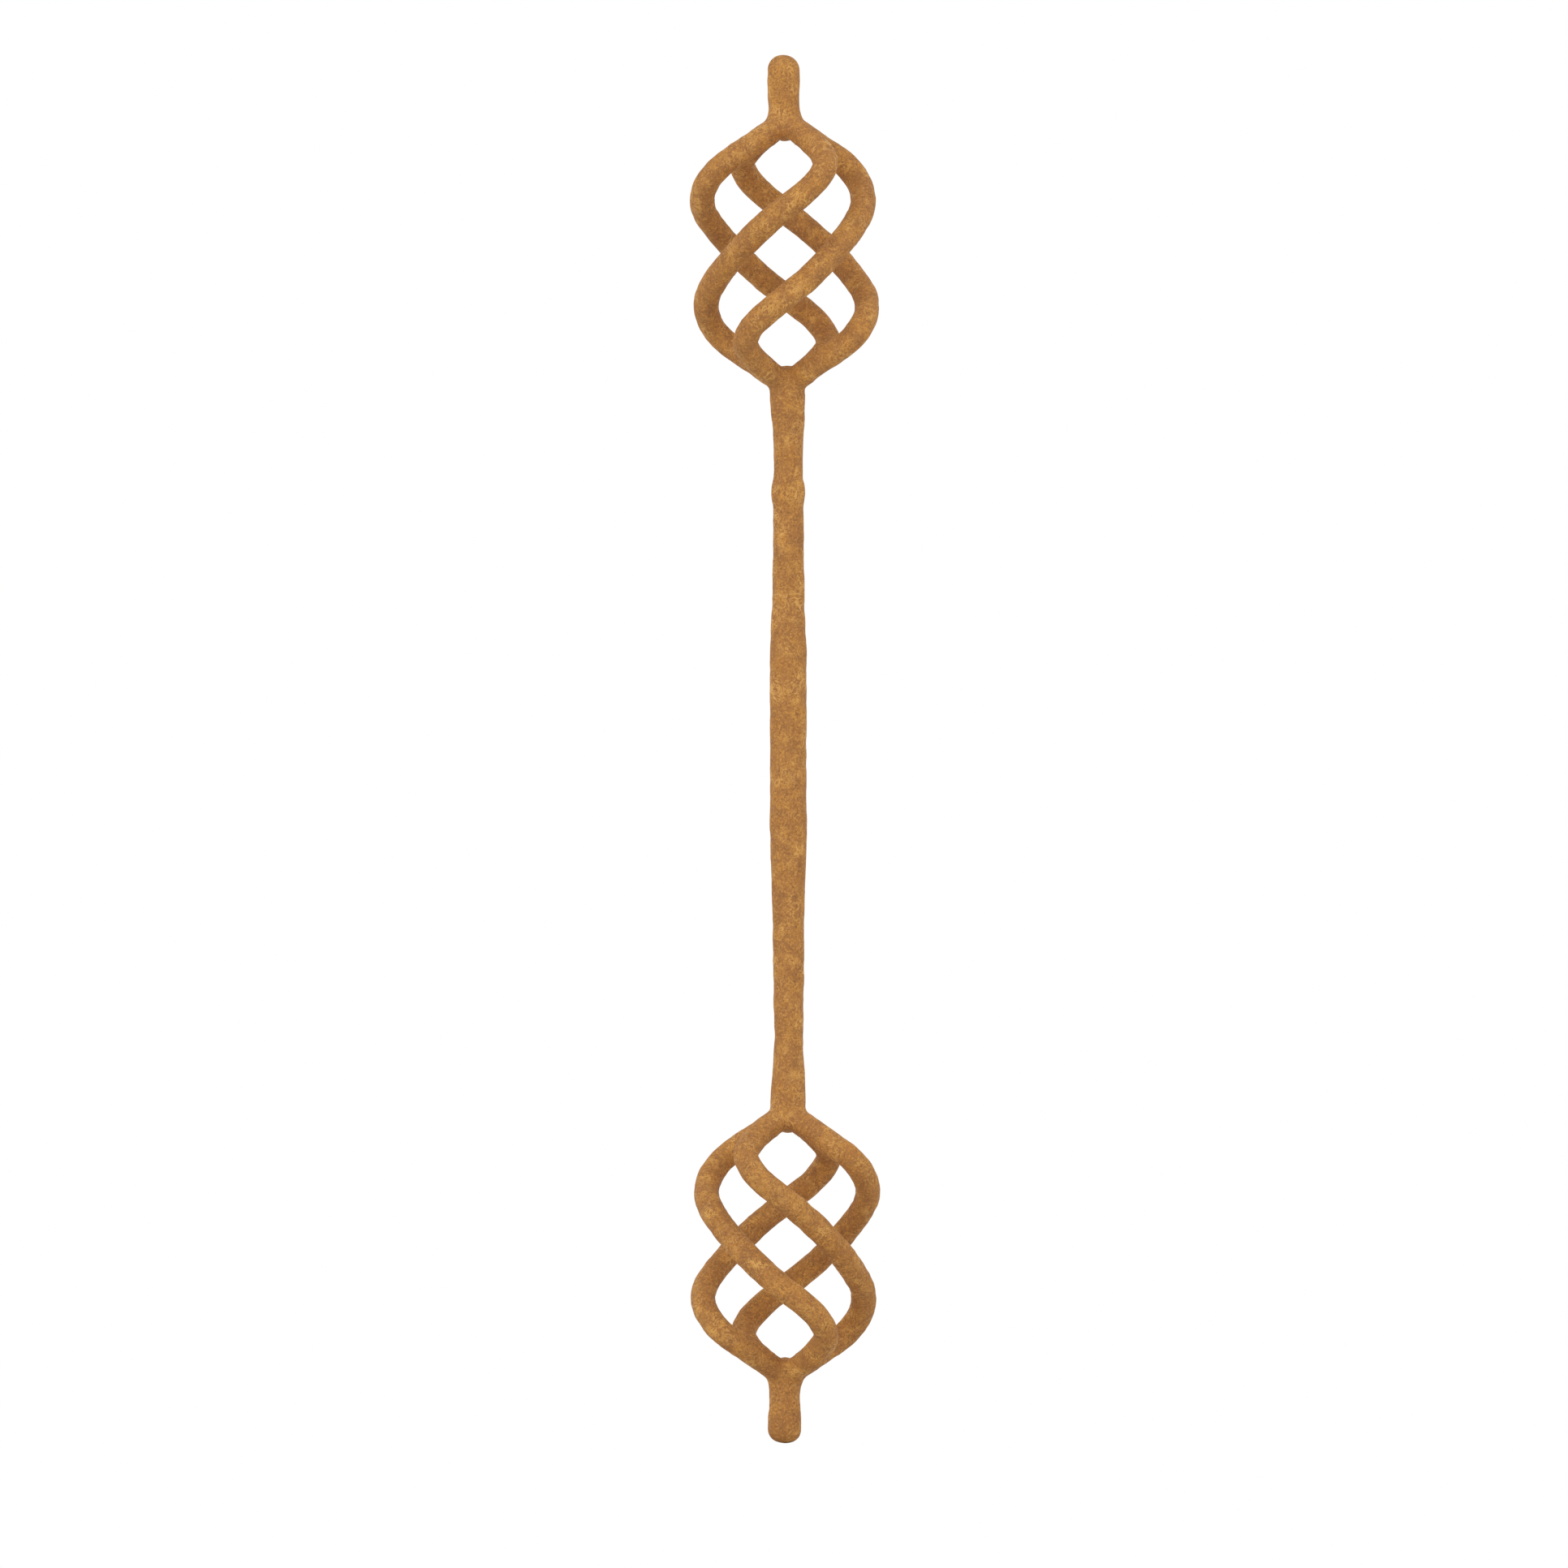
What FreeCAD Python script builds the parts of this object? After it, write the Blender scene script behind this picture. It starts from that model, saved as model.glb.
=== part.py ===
"""Wrought iron stair baluster with two twisted baskets.

A round forged shaft, thickest at its middle, carries an open basket at each end. A basket is
four round bars that start side by side in a forged neck, swing out to a belly, draw in to a
waist and swing out again, while they turn half a turn about the axis. The lower basket turns
the other way round from the upper one. A short round pin beyond each basket goes into the
handrail above and into the tread or floor shoe below.

The origin is the tip of the foot pin and +Z runs up the axis. Lengths are in millimetres and
angles in degrees.
"""
import FreeCAD
import Part
import math
import os

from FreeCAD import Vector

# Lengths along the axis
SHAFT_LENGTH = 438.0
BASKET_LENGTH = 173.0
TOP_PIN_LENGTH = 35.5
FOOT_PIN_LENGTH = 35.5

# Bars of a basket, with radii measured from the basket's axis to a bar's centre line
BAR_COUNT = 4
BAR_DIAMETER = 15.2
NECK_LINE_RADIUS = 4.0
BELLY_LINE_RADIUS = 51.5
WAIST_LINE_RADIUS = 42.0
BELLY_HEIGHT = 41.5
NECK_BEND_RADIUS = 11.3
SHOULDER_BEND_RADIUS = 20.0
BASKET_TWIST = 180.0
TWISTED_LENGTH = 154.0

# Necks, where the bars are forge-welded round a core of weld metal and dressed round
SHAFT_NECK_DIAMETER = 21.8
PIN_NECK_DIAMETER = 19.8
NECK_FILLET_RADIUS = 5.0
NECK_FLARE_ANGLE = 5.0
WELD_DEPTH = 17.5
WELD_RADIUS = 7.0

# Shaft
SHAFT_MIDDLE_DIAMETER = 22.3
SHAFT_THIN_DIAMETER = 17.8
MIDDLE_SWELL_LENGTH = 124.0
END_FLARE_LENGTH = 38.0
COLLAR_HEIGHT = 157.5
COLLAR_LENGTH = 18.0
COLLAR_DIAMETER = 20.7

# Shares of the way from one shaft diameter to the next, at shares of the length between them
TAPER_STATIONS = ((0.11, 0.29), (0.24, 0.52), (0.49, 0.74), (0.74, 0.84))
FLARE_STATIONS = ((0.37, 0.3), (0.76, 0.8))

# Pins
PIN_STEM_DIAMETER = 18.7
PIN_SHOULDER_LENGTH = 3.0
PIN_NECK_LENGTH = 2.0
TOP_PIN_DIAMETER = 19.6
TOP_PIN_STRAIGHT = 16.5
TOP_TIP_RADIUS = 9.2
FOOT_PIN_DIAMETER = 20.4
FOOT_PIN_STRAIGHT = 9.5
FOOT_TIP_RADIUS = 8.5

# A bar is bent round this many points between its two neck bends, by arcs that take up this
# share of the runs between them
BEND_COUNT = 17
BEND_SHARE = 0.45

AXIS_UP = Vector(0, 0, 1)
HALF_BASKET = BASKET_LENGTH / 2
HALF_SHAFT = SHAFT_LENGTH / 2
LOWER_BASKET_Z = FOOT_PIN_LENGTH + HALF_BASKET
SHAFT_MIDDLE_Z = FOOT_PIN_LENGTH + BASKET_LENGTH + HALF_SHAFT
UPPER_BASKET_Z = SHAFT_MIDDLE_Z + HALF_SHAFT + HALF_BASKET
TOP_PIN_Z = UPPER_BASKET_Z + HALF_BASKET


def polar(centre, radius, angle):
    """The point of the XZ plane at an angle in radians from +X about a centre."""
    return centre + Vector(radius * math.cos(angle), 0, radius * math.sin(angle))


def arc_edge(centre, radius, start, end):
    """An arc of the XZ plane between two angles in radians."""
    middle = polar(centre, radius, (start + end) / 2)
    return Part.Arc(polar(centre, radius, start), middle, polar(centre, radius, end)).toShape()


def line_edge(start, end):
    return Part.LineSegment(start, end).toShape()


def turned(edges):
    """A solid turned about the axis from a closed outline of the XZ plane."""
    face = Part.Face(Part.Wire(edges))
    return face.revolve(Vector(0, 0, 0), AXIS_UP, 360)


def bar_lean():
    """How far a bar leans from upright between its neck bend and its shoulder, in radians."""
    out = BELLY_LINE_RADIUS - SHOULDER_BEND_RADIUS - NECK_LINE_RADIUS - NECK_BEND_RADIUS
    up = HALF_BASKET - BELLY_HEIGHT
    return math.atan2(out, up) + math.asin((NECK_BEND_RADIUS + SHOULDER_BEND_RADIUS) / math.hypot(out, up))


def bar_side_view():
    """A bar's line without its twist, from the waist up to the middle of its lean: x is its
    radius, z its height. It ends with the corner of the neck bend."""
    lean = bar_lean()
    waist_depth = BELLY_LINE_RADIUS - WAIST_LINE_RADIUS
    waist_bend = (BELLY_HEIGHT ** 2 + waist_depth ** 2) / (4 * waist_depth)
    waist_turn = math.asin(BELLY_HEIGHT / 2 / waist_bend)
    waist_centre = Vector(WAIST_LINE_RADIUS + waist_bend, 0, 0)
    belly_centre = Vector(BELLY_LINE_RADIUS - waist_bend, 0, BELLY_HEIGHT)
    shoulder_centre = Vector(BELLY_LINE_RADIUS - SHOULDER_BEND_RADIUS, 0, BELLY_HEIGHT)
    shoulder_end = polar(shoulder_centre, SHOULDER_BEND_RADIUS, lean)
    corner = Vector(NECK_LINE_RADIUS, 0, HALF_BASKET - NECK_BEND_RADIUS * math.tan(lean / 2))
    wire = Part.Wire([
        arc_edge(waist_centre, waist_bend, math.pi, math.pi - waist_turn),
        arc_edge(belly_centre, waist_bend, -waist_turn, 0),
        arc_edge(shoulder_centre, SHOULDER_BEND_RADIUS, 0, lean),
        line_edge(shoulder_end, (shoulder_end + corner) / 2),
    ])
    return wire, corner


def twist_at(height):
    """How far a bar has turned about the axis at a height above the waist, in degrees."""
    share = max(-1.0, min(1.0, height / (TWISTED_LENGTH / 2)))
    return BASKET_TWIST / 2 * (1.5 * share - 0.5 * share ** 3)


def twisted(point, first_angle):
    """A point of a bar's side view, carried round the axis by the twist at its height."""
    angle = math.radians(first_angle + twist_at(point.z))
    return Vector(point.x * math.cos(angle), point.x * math.sin(angle), point.z)


def bar_corners(first_angle):
    """The points that a bar runs between, up through a basket whose middle is the origin."""
    wire, neck_corner = bar_side_view()
    half = wire.discretize(Number=4 * BEND_COUNT)
    side_view = [Vector(p.x, 0, -p.z) for p in reversed(half[1:])] + half
    line = Part.BSplineCurve()
    line.interpolate([twisted(p, first_angle) for p in side_view])
    bends = line.toShape().discretize(Number=BEND_COUNT)
    top = twisted(neck_corner, first_angle)
    bottom = twisted(Vector(neck_corner.x, 0, -neck_corner.z), first_angle)
    overrun = AXIS_UP * (HALF_BASKET - neck_corner.z + BAR_DIAMETER / 2)
    return [bottom - overrun, bottom] + bends + [top, top + overrun]


def bent_wire(points):
    """Straight runs between points, joined by a tangent arc at each corner."""
    edges = []
    start = points[0]
    for before, corner, after in zip(points, points[1:], points[2:]):
        back = before - corner
        on = after - corner
        reach = BEND_SHARE * min(back.Length, on.Length)
        back.normalize()
        on.normalize()
        half_turn = (math.pi - back.getAngle(on)) / 2
        if corner in (points[1], points[-2]):
            reach = min(reach, NECK_BEND_RADIUS * math.tan(half_turn))
        radius = reach / math.tan(half_turn)
        depth = radius * (1 / math.cos(half_turn) - 1)
        middle = corner + (back + on).normalize() * depth
        edges.append(line_edge(start, corner + back * reach))
        edges.append(Part.Arc(corner + back * reach, middle, corner + on * reach).toShape())
        start = corner + on * reach
    edges.append(line_edge(start, points[-1]))
    return Part.Wire(edges)


def round_bar(points):
    """A round bar bent along points, whose two ends are upright."""
    ring = Part.Wire(Part.Circle(points[0], AXIS_UP, BAR_DIAMETER / 2).toShape())
    return bent_wire(points).makePipeShell([ring], True, False)


def neighbour_space(middle_angle):
    """What a bar gives up above the belly: all but its own sector, up to the end of the basket."""
    reach = 2 * (BELLY_LINE_RADIUS + BAR_DIAMETER)
    bottom = Vector(0, 0, BELLY_HEIGHT)
    half_sector = 180 / BAR_COUNT
    corners = [bottom]
    for turn in (-half_sector, 0, half_sector):
        angle = math.radians(middle_angle + turn)
        corners.append(bottom + Vector(reach * math.cos(angle), reach * math.sin(angle), 0))
    height = AXIS_UP * (HALF_BASKET - BELLY_HEIGHT)
    sector = Part.Face(Part.makePolygon(corners + [bottom])).extrude(height)
    return Part.makeCylinder(reach / 2, BASKET_LENGTH, bottom).cut(sector)


def neck_weld():
    """The weld metal between the bars in the top neck of a basket, with its domed lower end."""
    dome_centre = Vector(0, 0, HALF_BASKET - WELD_DEPTH + WELD_RADIUS)
    bottom = polar(dome_centre, WELD_RADIUS, -math.pi / 2)
    shoulder = polar(dome_centre, WELD_RADIUS, 0)
    rim = Vector(WELD_RADIUS, 0, HALF_BASKET)
    top = Vector(0, 0, HALF_BASKET)
    return turned([
        arc_edge(dome_centre, WELD_RADIUS, -math.pi / 2, 0),
        line_edge(shoulder, rim),
        line_edge(rim, top),
        line_edge(top, bottom),
    ])


def neck_waste(neck_diameter):
    """What is hammered and filed away round the top neck of a basket."""
    flare = bar_lean() + math.radians(NECK_FLARE_ANGLE)
    centre = Vector(neck_diameter / 2 + NECK_FILLET_RADIUS, 0, HALF_BASKET)
    neck = polar(centre, NECK_FILLET_RADIUS, math.pi)
    foot = polar(centre, NECK_FILLET_RADIUS, math.pi + flare)
    reach = BELLY_LINE_RADIUS + BAR_DIAMETER
    rim = Vector(reach, 0, foot.z - (reach - foot.x) / math.tan(flare))
    above = HALF_BASKET + BAR_DIAMETER
    return turned([
        arc_edge(centre, NECK_FILLET_RADIUS, math.pi, math.pi + flare),
        line_edge(foot, rim),
        line_edge(rim, Vector(reach, 0, above)),
        line_edge(Vector(reach, 0, above), Vector(neck.x, 0, above)),
        line_edge(Vector(neck.x, 0, above), neck),
    ])


def basket_bar():
    """The first bar of the upper basket, about the basket's middle, with its ends shaped to the
    necks and its share of their welds."""
    half_sector = 180 / BAR_COUNT
    bar = round_bar(bar_corners(half_sector))
    for neck_diameter, end_angle, flip in (
        (PIN_NECK_DIAMETER, BASKET_TWIST / 2 + half_sector, 0),
        (SHAFT_NECK_DIAMETER, BASKET_TWIST / 2 - half_sector, 180),
    ):
        weld = neck_weld()
        space = neighbour_space(end_angle)
        waste = neck_waste(neck_diameter)
        for shape in (weld, space, waste):
            shape.rotate(Vector(0, 0, 0), Vector(1, 0, 0), flip)
        bar = bar.fuse(weld).cut(space).cut(waste)
    return bar.Solids[0]


def shaft():
    """The shaft, turned from a smooth outline, with its small hammered collar."""
    middle = SHAFT_MIDDLE_DIAMETER / 2
    thin = SHAFT_THIN_DIAMETER / 2
    end = SHAFT_NECK_DIAMETER / 2
    swell_top = MIDDLE_SWELL_LENGTH / 2
    flare_foot = HALF_SHAFT - END_FLARE_LENGTH
    upper = [(swell_top / 2, middle), (swell_top, middle)]
    for along, across in TAPER_STATIONS:
        upper.append((swell_top + along * (flare_foot - swell_top), middle + across * (thin - middle)))
    upper.append((flare_foot, thin))
    for along, across in FLARE_STATIONS:
        upper.append((flare_foot + along * END_FLARE_LENGTH, thin + across * (end - thin)))
    upper.append((HALF_SHAFT, end))
    lower = [(-height, radius) for height, radius in reversed(upper)]
    outline = Part.BSplineCurve()
    outline.interpolate([Vector(radius, 0, height) for height, radius in lower + [(0, middle)] + upper])
    bottom = Vector(0, 0, -HALF_SHAFT)
    top = Vector(0, 0, HALF_SHAFT)
    body = turned([
        outline.toShape(),
        line_edge(Vector(end, 0, HALF_SHAFT), top),
        line_edge(top, bottom),
        line_edge(bottom, Vector(end, 0, -HALF_SHAFT)),
    ])
    return body.fuse(collar()).removeSplitter().Solids[0]


def collar():
    """The low round swelling near the top of the shaft, about the shaft's middle."""
    inside = SHAFT_THIN_DIAMETER / 2
    low = Vector(inside, 0, COLLAR_HEIGHT - COLLAR_LENGTH / 2)
    high = Vector(inside, 0, COLLAR_HEIGHT + COLLAR_LENGTH / 2)
    crest = Vector(COLLAR_DIAMETER / 2, 0, COLLAR_HEIGHT)
    return turned([
        Part.Arc(low, crest, high).toShape(),
        line_edge(high, Vector(0, 0, high.z)),
        line_edge(Vector(0, 0, high.z), Vector(0, 0, low.z)),
        line_edge(Vector(0, 0, low.z), low),
    ])


def pin(length, diameter, straight, tip_radius):
    """A pin that stands on its neck at the origin: a stem, a straight part and a domed tip."""
    neck = PIN_NECK_DIAMETER / 2
    stem = PIN_STEM_DIAMETER / 2
    radius = diameter / 2
    tip_centre = Vector(radius - tip_radius, 0, length - tip_radius)
    shoulder = tip_centre.z - straight
    outline = [
        Vector(0, 0, 0),
        Vector(neck, 0, 0),
        Vector(stem, 0, PIN_NECK_LENGTH),
        Vector(stem, 0, shoulder - PIN_SHOULDER_LENGTH),
        Vector(radius, 0, shoulder),
        Vector(radius, 0, tip_centre.z),
    ]
    edges = [line_edge(a, b) for a, b in zip(outline, outline[1:])]
    edges += [
        arc_edge(tip_centre, tip_radius, 0, math.pi / 2),
        line_edge(Vector(tip_centre.x, 0, length), Vector(0, 0, length)),
        line_edge(Vector(0, 0, length), outline[0]),
    ]
    return turned(edges)


def top_pin():
    return pin(TOP_PIN_LENGTH, TOP_PIN_DIAMETER, TOP_PIN_STRAIGHT, TOP_TIP_RADIUS)


def foot_pin():
    """The foot pin, which hangs from its neck."""
    solid = pin(FOOT_PIN_LENGTH, FOOT_PIN_DIAMETER, FOOT_PIN_STRAIGHT, FOOT_TIP_RADIUS)
    solid.rotate(Vector(0, 0, 0), Vector(1, 0, 0), 180)
    return solid


def save(name, solid, height):
    """Writes a solid, raised to its place on the axis, under its own name."""
    solid.translate(AXIS_UP * height)
    solid.exportStep("parts/" + name + ".step")
    print(name, "valid" if solid.isValid() else "NOT VALID", "%.1f cm3" % (solid.Volume / 1000))


def main():
    os.makedirs("parts", exist_ok=True)
    save("foot_pin", foot_pin(), FOOT_PIN_LENGTH)
    save("shaft", shaft(), SHAFT_MIDDLE_Z)
    save("top_pin", top_pin(), TOP_PIN_Z)
    bar = basket_bar()
    for number in range(1, BAR_COUNT + 1):
        upper = bar.copy()
        upper.rotate(Vector(0, 0, 0), AXIS_UP, 360 / BAR_COUNT * (number - 1))
        lower = upper.mirror(Vector(0, 0, 0), AXIS_UP)
        save("upper_basket_bar_%d" % number, upper, UPPER_BASKET_Z)
        save("lower_basket_bar_%d" % number, lower, LOWER_BASKET_Z)


main()
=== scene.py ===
"""Looks of a wrought iron stair baluster: a swelled shaft between two twisted baskets.

Every solid gets a forged skin of its own, a little uneven and marked by the hammer. The skins of
the shaft and of the two pins run on over the necks of the baskets, where the bars are
forge-welded, with a rounded web in each crotch. All of it has one finish, a brown and ochre
patina paint.
"""
import bmesh
import bpy
import math

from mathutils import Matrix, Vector, noise


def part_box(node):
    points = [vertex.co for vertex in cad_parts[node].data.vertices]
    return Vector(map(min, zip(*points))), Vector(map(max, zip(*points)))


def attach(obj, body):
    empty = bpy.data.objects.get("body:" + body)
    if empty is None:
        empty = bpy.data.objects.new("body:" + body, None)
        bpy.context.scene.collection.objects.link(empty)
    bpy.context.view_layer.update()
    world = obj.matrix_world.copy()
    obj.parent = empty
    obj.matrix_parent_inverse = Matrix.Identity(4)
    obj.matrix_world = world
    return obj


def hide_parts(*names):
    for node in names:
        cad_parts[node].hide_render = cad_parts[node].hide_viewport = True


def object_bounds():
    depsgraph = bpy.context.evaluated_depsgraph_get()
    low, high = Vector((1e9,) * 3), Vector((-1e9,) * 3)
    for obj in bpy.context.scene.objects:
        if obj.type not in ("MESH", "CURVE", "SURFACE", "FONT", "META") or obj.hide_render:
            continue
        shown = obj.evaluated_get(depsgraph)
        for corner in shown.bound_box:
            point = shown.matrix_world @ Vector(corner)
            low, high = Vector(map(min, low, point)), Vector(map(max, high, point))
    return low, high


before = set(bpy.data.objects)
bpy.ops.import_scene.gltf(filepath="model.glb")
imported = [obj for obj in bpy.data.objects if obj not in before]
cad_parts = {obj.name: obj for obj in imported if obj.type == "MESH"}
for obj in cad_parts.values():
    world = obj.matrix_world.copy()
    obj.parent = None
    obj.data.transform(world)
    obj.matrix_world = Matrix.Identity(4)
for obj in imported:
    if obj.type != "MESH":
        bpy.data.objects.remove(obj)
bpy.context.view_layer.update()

MM = 0.001

# Grid of the forged skins, fine enough for the hammer marks, and how near two points are merged
GRID = 0.9 * MM
MERGE = 0.001 * MM

# Welds of the baskets' necks: how far they run along the bars, and the radius of the web in a
# crotch
WELD_REACH = 26.0 * MM
WEB_RADIUS = 3.0 * MM

# One skin dips under the other between these distances from the end of a neck, by this depth
WELD_FADE = (19.0 * MM, 25.0 * MM)
BAR_FADE = (14.0 * MM, 21.0 * MM)
UNDER = 0.8 * MM

# Rounds of smoothing of a skin as it is forged, and then of a weld as it is dressed, and how far
# each round takes a point towards the middle of its neighbours
SKIN_SMOOTHING = 2
WELD_SMOOTHING = 12
SMOOTHING_SHARE = 0.5

# Unevenness that a smith leaves: slow waves along the bars, and shallow hammer dents, each with a
# radius of this share of the space from one dent to the next
WAVE_SIZE = 15.0 * MM
WAVE_DEPTH = 0.35 * MM
DENT_SIZE = 8.0 * MM
DENT_DEPTH = 0.3 * MM
DENT_SHARE = 0.62

# The skins stand out by what the dents take away on average, and about 0.1 mm more, for the width
# that the bars have in the picture. The welds stand further out by a little
SKIN_PROUD = 0.22 * MM
WELD_PROUD = 0.15 * MM

# How far the forging strays to the right of its axis, in mm at mm from the shaft's middle, and how
# far its foot leans to the right and its head to the left
STRAY = (
    (0, 2.1), (195, 2.3), (235, 1.4), (270, 1.3), (300, 0.4),
    (335, -1.1), (380, 0.3), (405, -0.4), (428, -0.5),
)
LEAN = 0.3 * MM

# Paints of the patina, from the brown ground to the gold that is rubbed on last
GROUND_BROWN = "#AC7743"
DULL_BROWN = "#A4703E"
DEEP_BROWN = "#8F643C"
WARM_OCHRE = "#BA7D3A"
DARK_SPECKS = "#8C5F38"
PALE_SPECKS = "#CB924C"
THIN_GOLD = "#D69B4E"
BRIGHT_GOLD = "#E0AA5D"

# How strongly the gold covers on a high place, and the share of that in the bottom of a dent
GOLD_STRENGTH = 0.95
GOLD_IN_DENTS = 0.45

# The Mix node's sockets for its share, its two colours and its result. It has several of each
# name, one for each kind of data
MIX_SHARE = 0
MIX_UNDER = 6
MIX_OVER = 7
MIX_RESULT = 2

# The picture is a square of 1932 px at 0.5 mm to the px, with the foot's tip and the axis at these
# px. The camera stands this many metres in front
PX = 0.5 * MM
PICTURE_SIZE = 1932
FOOT_ROW = 1778
AXIS_COLUMN = 967
CAMERA_DISTANCE = 3.0

# The studio: the floor's half width in metres and its paint, how much brighter than lit the
# camera sees it, and the strength of the white surround as a light
FLOOR_HALF_WIDTH = 4.0
FLOOR_PAINT = "#D7D7D7"
FLOOR_LIFT = 0.36
WHITE = "#FFFFFF"
SURROUND_LIGHT = 0.85

# Broad even lights, each with the place it shines from, its strength and its breadth in degrees
LIGHTS = (
    ("key", (-1.7, -2.3, 0.8), 0.56, 40),
    ("fill", (2.2, -1.7, 0.6), 0.34, 50),
)

BARS = [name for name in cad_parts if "_bar_" in name]
UPPER_BARS = [name for name in BARS if name.startswith("upper")]
LOWER_BARS = [name for name in BARS if name.startswith("lower")]
FOOT_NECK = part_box("foot_pin")[1].z
SHAFT_LOW_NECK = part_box("shaft")[0].z
SHAFT_HIGH_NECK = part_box("shaft")[1].z
TOP_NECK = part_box("top_pin")[0].z
NECKS = (FOOT_NECK, SHAFT_LOW_NECK, SHAFT_HIGH_NECK, TOP_NECK)
SHAFT_MIDDLE = (SHAFT_LOW_NECK + SHAFT_HIGH_NECK) / 2


def eased(value, low, high):
    """0 below low, 1 above high, and a smooth rise between."""
    share = min(1.0, max(0.0, (value - low) / (high - low)))
    return share * share * (3 - 2 * share)


def stray_at(height):
    """How far the forging strays to the right at a height, in metres."""
    lean = LEAN * (1 - height / SHAFT_MIDDLE)
    distance = abs(height - SHAFT_MIDDLE) / MM
    for (near, before), (far, after) in zip(STRAY, STRAY[1:]):
        if distance <= far:
            return (before + (after - before) * eased(distance, near, far)) * MM + lean
    return STRAY[-1][1] * MM + lean


def from_a_neck(height):
    """The distance to the nearest end of a neck."""
    return min(abs(height - neck) for neck in NECKS)


def closed_mesh(name, keep_above=None, keep_below=None):
    """A node's mesh with its points merged, cut off level at a height and closed again."""
    bm = bmesh.new()
    bm.from_mesh(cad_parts[name].data)
    bmesh.ops.remove_doubles(bm, verts=bm.verts, dist=MERGE)
    for height, outward in ((keep_above, Vector((0, 0, -1))), (keep_below, Vector((0, 0, 1)))):
        if height is None:
            continue
        everything = bm.verts[:] + bm.edges[:] + bm.faces[:]
        bmesh.ops.bisect_plane(bm, geom=everything, dist=MERGE, plane_co=Vector((0, 0, height)),
                               plane_no=outward, clear_outer=True)
        open_edges = [edge for edge in bm.edges if edge.is_boundary]
        bmesh.ops.holes_fill(bm, edges=open_edges, sides=0)
    return bm


def even_out(piece):
    """Gives a piece one closed skin on an even grid."""
    grid = piece.modifiers.new("grid", "REMESH")
    grid.mode = "VOXEL"
    grid.voxel_size = GRID
    depsgraph = bpy.context.evaluated_depsgraph_get()
    piece.data = bpy.data.meshes.new_from_object(piece.evaluated_get(depsgraph))
    piece.modifiers.clear()


def skin_round(name, parts):
    """One closed skin round several closed meshes."""
    mesh = bpy.data.meshes.new(name)
    together = bmesh.new()
    for part in parts:
        part.to_mesh(mesh)
        part.free()
        together.from_mesh(mesh)
    together.to_mesh(mesh)
    together.free()
    piece = bpy.data.objects.new(name, mesh)
    bpy.context.scene.collection.objects.link(piece)
    even_out(piece)
    return piece


def fill_crotches(piece):
    """Rounds every inner corner: the skin goes out until its sides meet there, and back again."""
    for distance in (WEB_RADIUS, -WEB_RADIUS):
        bm = bmesh.new()
        bm.from_mesh(piece.data)
        bm.normal_update()
        for vert, normal in [(v, v.normal.copy()) for v in bm.verts]:
            vert.co += normal * distance
        bm.to_mesh(piece.data)
        bm.free()
        even_out(piece)


def smooth(bm, verts, rounds):
    """Evens out points with their neighbours."""
    for _ in range(rounds):
        bmesh.ops.smooth_vert(bm, verts=verts, factor=SMOOTHING_SHARE,
                              use_axis_x=True, use_axis_y=True, use_axis_z=True)


def hammered(place):
    """How far the hammer has left the surface out or in at a place."""
    wave = noise.noise(place / WAVE_SIZE) * WAVE_DEPTH
    nearest = noise.voronoi(place / DENT_SIZE)[0][0]
    dent = max(0.0, 1 - (nearest / DENT_SHARE) ** 2) * DENT_DEPTH
    return wave - dent


def forge(piece, offset_at, dress_welds=False):
    """Smooths a skin, moves it out by an offset and the hammer's unevenness, and lets it stray.
    Keeps how high each place stands, for the finish to be rubbed by."""
    bm = bmesh.new()
    bm.from_mesh(piece.data)
    smooth(bm, bm.verts[:], SKIN_SMOOTHING)
    if dress_welds:
        on_a_weld = [v for v in bm.verts if from_a_neck(v.co.z) < WELD_FADE[0]]
        smooth(bm, on_a_weld, WELD_SMOOTHING)
    bm.normal_update()
    high = bm.verts.layers.float.new("high")
    moves = [(v, v.normal.copy(), hammered(v.co)) for v in bm.verts]
    for vert, normal, rise in moves:
        vert[high] = eased(rise, -DENT_DEPTH, WAVE_DEPTH / 2)
        vert.co += normal * (SKIN_PROUD + offset_at(vert.co.z) + rise)
        vert.co.x += stray_at(vert.co.z)
    for face in bm.faces:
        face.smooth = True
    bm.to_mesh(piece.data)
    bm.free()


def forged_bar(node):
    """A basket bar's own skin, which dips under the welds at both ends."""
    piece = skin_round(node + "_forged", [closed_mesh(node)])

    def offset_at(height):
        return -UNDER * (1 - eased(from_a_neck(height), *BAR_FADE))

    forge(piece, offset_at)
    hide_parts(node)
    return piece


def forged_carrier(node, low_neck=None, low_bars=(), high_neck=None, high_bars=()):
    """The skin of the shaft or of a pin, which runs on over the bars welded to its ends."""
    parts = [closed_mesh(node)]
    for bar in low_bars:
        parts.append(closed_mesh(bar, keep_above=low_neck - WELD_REACH))
    for bar in high_bars:
        parts.append(closed_mesh(bar, keep_below=high_neck + WELD_REACH))
    piece = skin_round(node + "_forged", parts)
    fill_crotches(piece)

    def offset_at(height):
        above = height - high_neck if high_bars else 0
        below = low_neck - height if low_bars else 0
        near = 1 - eased(from_a_neck(height), *WELD_FADE)
        return WELD_PROUD * near - UNDER * eased(max(above, below), *WELD_FADE)

    forge(piece, offset_at, dress_welds=True)
    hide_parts(node)
    return piece


def linear(hex_colour):
    """A colour written as sRGB hex, as the linear red, green, blue and alpha that a node takes."""
    channels = [int(hex_colour[i:i + 2], 16) / 255 for i in (1, 3, 5)]
    return [c / 12.92 if c <= 0.04045 else ((c + 0.055) / 1.055) ** 2.4 for c in channels] + [1.0]


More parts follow.
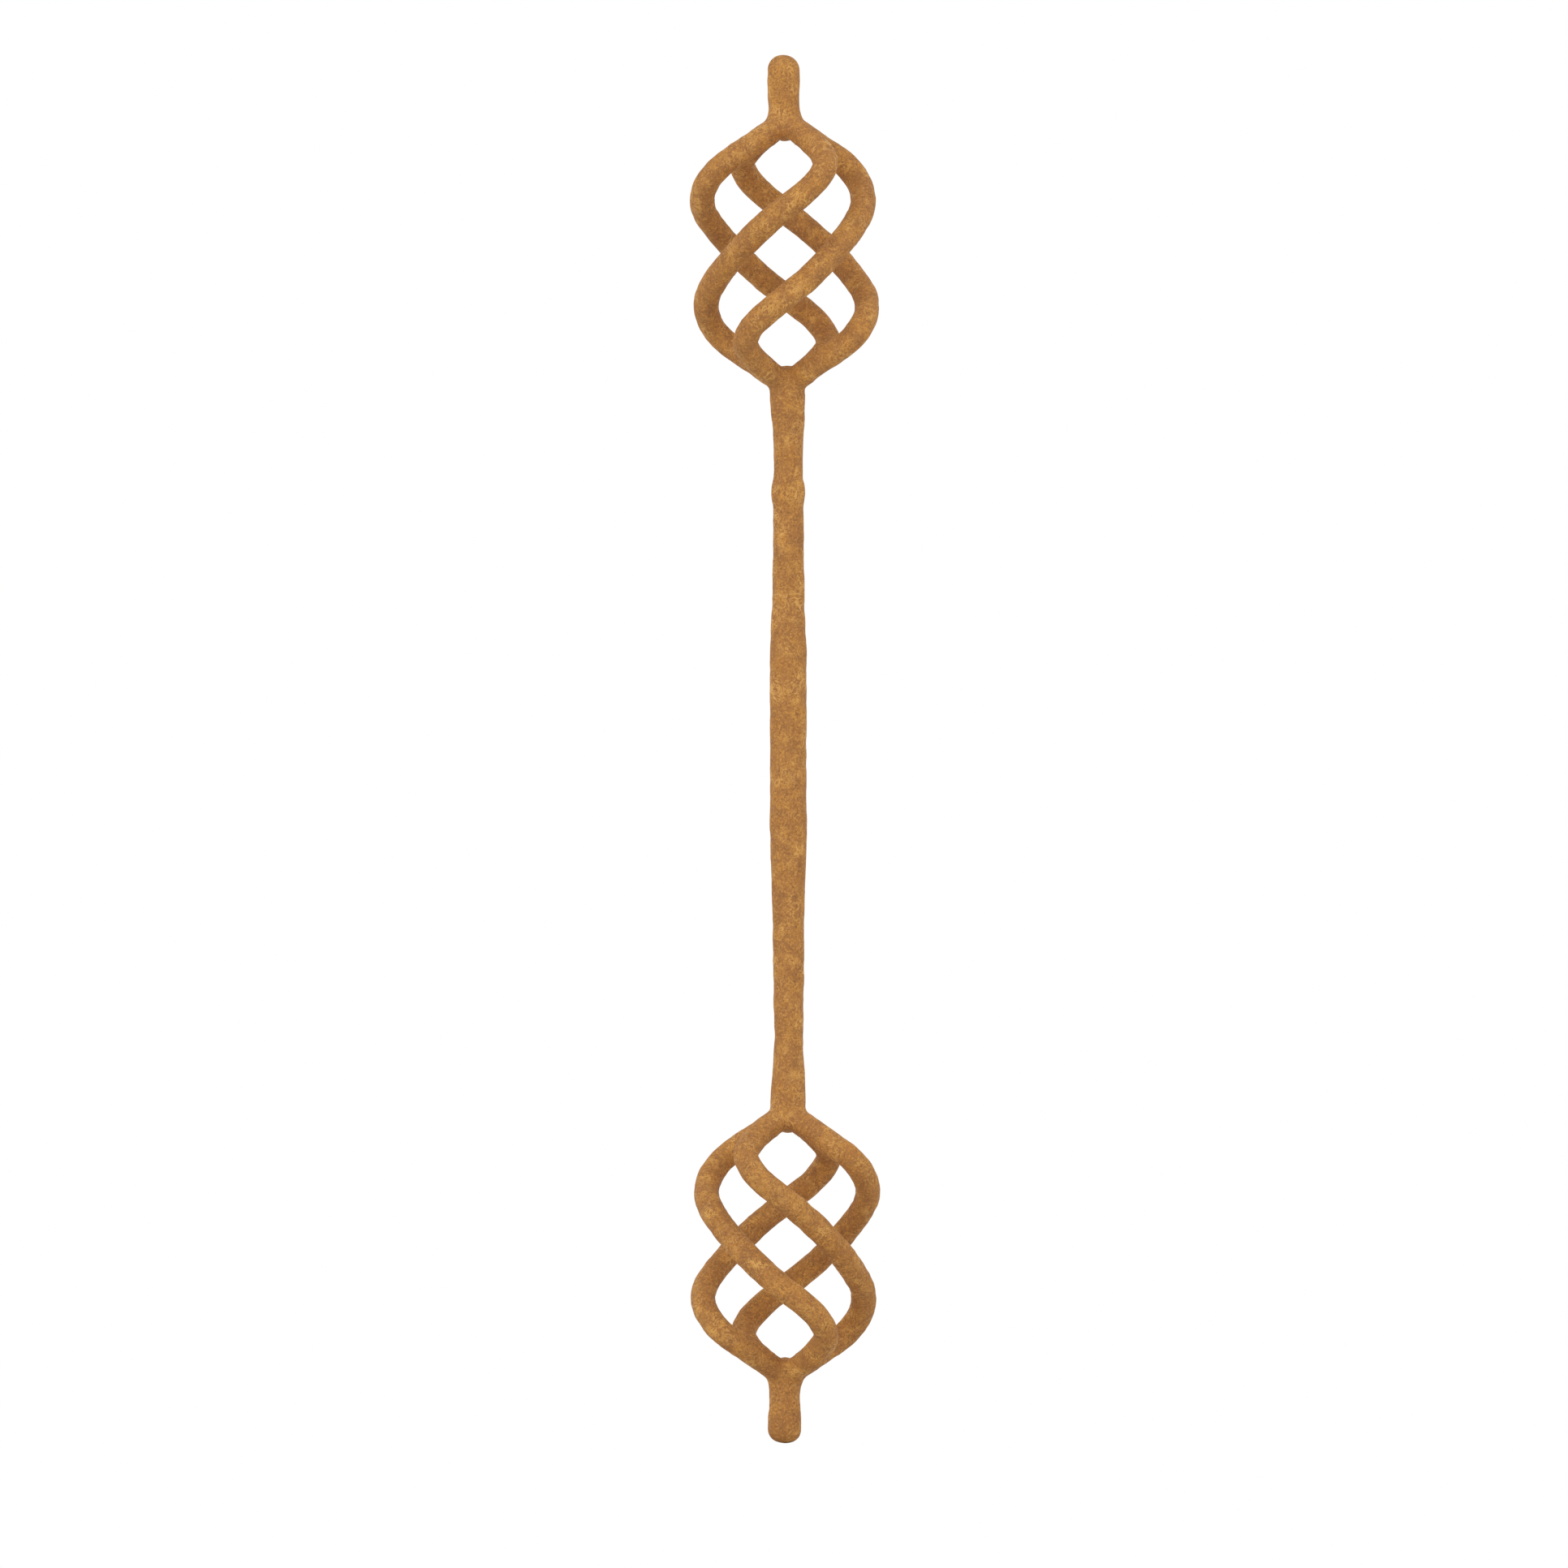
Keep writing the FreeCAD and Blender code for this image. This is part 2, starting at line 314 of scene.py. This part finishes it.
def add(tree, kind, inputs=(), **settings):
    """Adds a node with its settings. Each input takes a value, or a link from a node's output."""
    made = tree.nodes.new(kind)
    for name, value in settings.items():
        setattr(made, name, value)
    for socket, given in dict(inputs).items():
        if isinstance(given, bpy.types.NodeSocket):
            tree.links.new(given, made.inputs[socket])
        else:
            made.inputs[socket].default_value = given
    return made


def mottle(tree, place, size_mm, detail, low, high, distortion=0.0):
    """Soft-edged blotches about a size across: 0 between them and 1 inside."""
    texture = add(tree, "ShaderNodeTexNoise",
                  {"Vector": place, "Scale": 1 / (size_mm * MM), "Detail": detail,
                   "Distortion": distortion})
    edges = add(tree, "ShaderNodeMapRange",
                {"Value": texture.outputs["Fac"], "From Min": low, "From Max": high},
                interpolation_type="SMOOTHSTEP")
    return edges.outputs["Result"]


def flecks(tree, place, size_mm, width, groups):
    """Thin curly lines in groups, where a strongly distorted noise crosses its middle value."""
    texture = add(tree, "ShaderNodeTexNoise",
                  {"Vector": place, "Scale": 1 / (size_mm * MM), "Detail": 4, "Roughness": 0.6,
                   "Distortion": 1.5})
    off_middle = add(tree, "ShaderNodeMath", {0: texture.outputs["Fac"], 1: 0.5},
                     operation="SUBTRACT")
    distance = add(tree, "ShaderNodeMath", {0: off_middle.outputs[0]}, operation="ABSOLUTE")
    line = add(tree, "ShaderNodeMapRange",
               {"Value": distance.outputs[0], "From Min": width, "From Max": width / 4},
               interpolation_type="SMOOTHSTEP")
    grouped = add(tree, "ShaderNodeMath", {0: line.outputs["Result"], 1: groups},
                  operation="MULTIPLY")
    return grouped.outputs[0]


def coat(tree, under, where, strength, paint):
    """Lays a paint over what is under it, where a pattern says and as strongly as given."""
    share = add(tree, "ShaderNodeMath", {0: where, 1: strength}, operation="MULTIPLY")
    laid = add(tree, "ShaderNodeMix",
               {MIX_SHARE: share.outputs[0], MIX_UNDER: under, MIX_OVER: linear(paint)},
               data_type="RGBA")
    return laid.outputs[MIX_RESULT]


def patina_iron():
    """Forged iron with a brown patina paint, rubbed by hand with ochre and gold while wet. The eye
    sees matt, finely speckled ochre brown, with browner blotches, warmer clouds and clusters of
    thin curly gold flecks, thickest where the hammer left the iron high. The specks and the tooth
    of the paint are drawn coarser than the real ones, so that they show."""
    material = bpy.data.materials.new("rubbed_brown_patina")
    material.use_nodes = True
    tree = material.node_tree
    tree.nodes.clear()
    place = add(tree, "ShaderNodeTexCoord").outputs["Object"]
    high = add(tree, "ShaderNodeAttribute", attribute_name="high").outputs["Fac"]

    clouds = mottle(tree, place, size_mm=24, detail=3, low=0.38, high=0.66)
    blotches = mottle(tree, place, size_mm=9, detail=4, low=0.48, high=0.66, distortion=0.6)
    warm = mottle(tree, place, size_mm=11, detail=4, low=0.50, high=0.66, distortion=1.0)
    dark_specks = mottle(tree, place, size_mm=1.5, detail=2, low=0.48, high=0.66)
    pale_specks = mottle(tree, place, size_mm=1.4, detail=2, low=0.50, high=0.68)
    fine_groups = mottle(tree, place, size_mm=10, detail=2, low=0.40, high=0.62)
    fine_flecks = flecks(tree, place, size_mm=3.2, width=0.06, groups=fine_groups)
    bold_groups = mottle(tree, place, size_mm=13, detail=2, low=0.46, high=0.62)
    bold_flecks = flecks(tree, place, size_mm=7, width=0.045, groups=bold_groups)
    rubbed = add(tree, "ShaderNodeMapRange",
                 {"Value": high, "To Min": GOLD_STRENGTH * GOLD_IN_DENTS, "To Max": GOLD_STRENGTH})
    gold = rubbed.outputs["Result"]

    colour = linear(GROUND_BROWN)
    for where, strength, paint in (
        (clouds, 0.30, DULL_BROWN),
        (blotches, 0.35, DEEP_BROWN),
        (warm, 0.40, WARM_OCHRE),
        (dark_specks, 0.62, DARK_SPECKS),
        (pale_specks, 0.85, PALE_SPECKS),
        (fine_flecks, gold, THIN_GOLD),
        (bold_flecks, gold, BRIGHT_GOLD),
    ):
        colour = coat(tree, colour, where, strength, paint)

    roughness = add(tree, "ShaderNodeMapRange",
                    {"Value": bold_flecks, "To Min": 0.72, "To Max": 0.5})
    tooth = add(tree, "ShaderNodeTexNoise",
                {"Vector": place, "Scale": 1 / (1.2 * MM), "Detail": 4})
    bump = add(tree, "ShaderNodeBump",
               {"Height": tooth.outputs["Fac"], "Strength": 0.35, "Distance": 0.25 * MM})
    surface = add(tree, "ShaderNodeBsdfPrincipled",
                  {"Base Color": colour, "Roughness": roughness.outputs["Result"],
                   "Normal": bump.outputs["Normal"], "Metallic": 0.05,
                   "Specular IOR Level": 0.2})
    add(tree, "ShaderNodeOutputMaterial", {"Surface": surface.outputs["BSDF"]})
    return material


def seen_directly(tree):
    """1 for what the camera sees itself, in a reflection or through something, and 0 for light."""
    path = add(tree, "ShaderNodeLightPath")
    first = add(tree, "ShaderNodeMath",
                {0: path.outputs["Is Camera Ray"], 1: path.outputs["Is Glossy Ray"]},
                operation="MAXIMUM")
    both = add(tree, "ShaderNodeMath",
               {0: first.outputs[0], 1: path.outputs["Is Transmission Ray"]},
               operation="MAXIMUM")
    return both.outputs[0]


def pale_floor():
    """Matt emulsion paint on plaster, rolled on: an even pale grey. It is shown brighter than it
    is lit, so that it looks white and keeps the object's shadow."""
    material = bpy.data.materials.new("pale_floor")
    material.use_nodes = True
    tree = material.node_tree
    tree.nodes.clear()
    matt = add(tree, "ShaderNodeBsdfDiffuse", {"Color": linear(FLOOR_PAINT)})
    lift = add(tree, "ShaderNodeMapRange", {"Value": seen_directly(tree), "To Max": FLOOR_LIFT})
    glow = add(tree, "ShaderNodeEmission",
               {"Color": linear(WHITE), "Strength": lift.outputs["Result"]})
    both = add(tree, "ShaderNodeAddShader", {0: matt.outputs[0], 1: glow.outputs[0]})
    add(tree, "ShaderNodeOutputMaterial", {"Surface": both.outputs[0]})
    return material


def lay_floor():
    """A wide floor, level with the object's lowest point."""
    bm = bmesh.new()
    bmesh.ops.create_grid(bm, x_segments=1, y_segments=1, size=FLOOR_HALF_WIDTH)
    bmesh.ops.translate(bm, verts=bm.verts, vec=(0, 0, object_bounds()[0].z))
    mesh = bpy.data.meshes.new("floor")
    bm.to_mesh(mesh)
    bm.free()
    mesh.materials.append(pale_floor())
    floor = bpy.data.objects.new("floor", mesh)
    bpy.context.scene.collection.objects.link(floor)


def surround():
    """A surround that the camera sees as white, and that lights the object evenly."""
    world = bpy.data.worlds.new("surround")
    bpy.context.scene.world = world
    world.use_nodes = True
    tree = world.node_tree
    tree.nodes.clear()
    strength = add(tree, "ShaderNodeMapRange",
                   {"Value": seen_directly(tree), "To Min": SURROUND_LIGHT, "To Max": 1.0})
    background = add(tree, "ShaderNodeBackground",
                     {"Color": linear(WHITE), "Strength": strength.outputs["Result"]})
    add(tree, "ShaderNodeOutputWorld", {"Surface": background.outputs[0]})


def lights():
    """Broad lights, which shine from their places towards the object's foot."""
    for name, place, strength, breadth in LIGHTS:
        light = bpy.data.lights.new(name, "SUN")
        light.energy = strength
        light.angle = math.radians(breadth)
        holder = bpy.data.objects.new(name, light)
        bpy.context.scene.collection.objects.link(holder)
        holder.location = place
        holder.rotation_euler = (-Vector(place)).to_track_quat("-Z", "Y").to_euler()


def camera():
    """Looks level along +Y with no perspective, as the photo does."""
    lens = bpy.data.cameras.new("camera")
    lens.type = "ORTHO"
    lens.ortho_scale = PICTURE_SIZE * PX
    holder = bpy.data.objects.new("camera", lens)
    bpy.context.scene.collection.objects.link(holder)
    right = (PICTURE_SIZE / 2 - AXIS_COLUMN) * PX
    up = (FOOT_ROW - PICTURE_SIZE / 2) * PX
    holder.location = (right, -CAMERA_DISTANCE, up)
    holder.rotation_euler = (math.radians(90), 0, 0)
    bpy.context.scene.camera = holder


pieces = [forged_bar(bar) for bar in BARS]
pieces.append(forged_carrier("shaft", SHAFT_LOW_NECK, LOWER_BARS, SHAFT_HIGH_NECK, UPPER_BARS))
pieces.append(forged_carrier("foot_pin", high_neck=FOOT_NECK, high_bars=LOWER_BARS))
pieces.append(forged_carrier("top_pin", low_neck=TOP_NECK, low_bars=UPPER_BARS))

patina = patina_iron()
for piece in pieces:
    piece.data.materials.clear()
    piece.data.materials.append(patina)
    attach(piece, "root")

lay_floor()
surround()
lights()
camera()
bpy.context.scene.view_settings.view_transform = "Standard"
